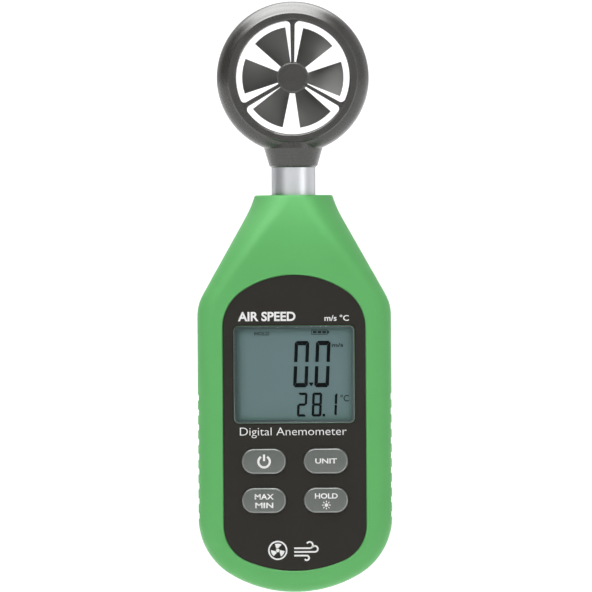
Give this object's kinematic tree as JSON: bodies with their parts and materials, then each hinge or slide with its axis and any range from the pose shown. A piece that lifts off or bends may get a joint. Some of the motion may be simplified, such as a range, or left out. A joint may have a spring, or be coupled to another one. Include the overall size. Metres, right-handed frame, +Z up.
{
  "type": "vane anemometer",
  "caption": "Handheld vane anemometer: a small ducted air-speed vane on a short metal neck above a flared body with a display, keys, a battery door and a tripod socket.",
  "frame": {"origin": "mouth of the tripod socket, on the flat back of the body", "axes": "+Z up along the body towards the head, -Y out of the display towards the user, +X to the user's right; +Y out of the back"},
  "size_m": [0.0524, 0.0285, 0.1601],
  "materials": {
    "green_body": "soft satin, moulded",
    "green_door": "soft satin, moulded",
    "head_plastic": "satin",
    "vane_plastic": "satin",
    "panel_face": "fine matt",
    "clear_lens": "polished clear plastic",
    "lcd": "grey-green reflective display",
    "key_plastic": "tinted, satin",
    "satin_metal": "satin turned",
    "shaft_steel": "ground",
    "screw_steel": "zinc plated",
    "brass": "turned",
    "jewel": "polished",
    "circuit_board": "solder mask",
    "black_plastic": "moulded",
    "white_plastic": "moulded",
    "glass_bead": "glass coated bead",
    "cable_jacket": "smooth",
    "zebra_rubber": "striped elastomer",
    "silicone": "matt silicone",
    "battery_jacket": "printed film over steel",
    "contact_metal": "nickel plated"
  },
  "bodies": {
    "body": {"head_front_shell": "head_plastic", "head_rear_shell": "head_plastic", "front_jewel": "jewel", "rear_jewel": "jewel", "sensor_board": "circuit_board", "optical_sensor": "black_plastic", "thermistor": "glass_bead", "sensor_cable": "cable_jacket", "neck_tube": "satin_metal", "front_case": "green_body", "rear_case": "green_body", "front_panel": "panel_face", "display_lens": "clear_lens", "lcd_glass": "lcd", "lcd_holder": "black_plastic", "backlight": "white_plastic", "zebra_strip": "zebra_rubber", "main_pcb": "circuit_board", "pcb_components": "black_plastic", "sensor_connector": "white_plastic", "keypad_mat": "silicone", "battery_1": "battery_jacket", "battery_2": "battery_jacket", "battery_3": "battery_jacket", "battery_springs": "contact_metal", "battery_plates": "contact_metal", "case_screws": "screw_steel", "pcb_screws": "screw_steel", "tripod_insert": "brass"},
    "vane": {"impeller": "vane_plastic", "rotor_shaft": "shaft_steel"},
    "power_key": {"key_power": "key_plastic"},
    "unit_key": {"key_unit": "key_plastic"},
    "max_min_key": {"key_max_min": "key_plastic"},
    "hold_light_key": {"key_hold_light": "key_plastic"},
    "door": {"battery_door": "green_door"}
  },
  "joints": [
    {"name": "vane_spin", "type": "hinge", "parent": "body", "child": "vane", "pos_m": [0, -0.014, 0.0655], "axis": [0, 1, 0], "continuous": true},
    {"name": "battery_door_slide", "type": "slide", "parent": "body", "child": "door", "axis": [0, 0, -1], "range_m": [0, 0.06]},
    {"name": "power_key_press", "type": "slide", "parent": "body", "child": "power_key", "axis": [0, 1, 0], "range_m": [0, 0.0008], "stiffness_N_per_m": 1500},
    {"name": "unit_key_press", "type": "slide", "parent": "body", "child": "unit_key", "axis": [0, 1, 0], "range_m": [0, 0.0008], "stiffness_N_per_m": 1500},
    {"name": "max_min_key_press", "type": "slide", "parent": "body", "child": "max_min_key", "axis": [0, 1, 0], "range_m": [0, 0.0008], "stiffness_N_per_m": 1500},
    {"name": "hold_light_key_press", "type": "slide", "parent": "body", "child": "hold_light_key", "axis": [0, 1, 0], "range_m": [0, 0.0008], "stiffness_N_per_m": 1500}
  ]
}
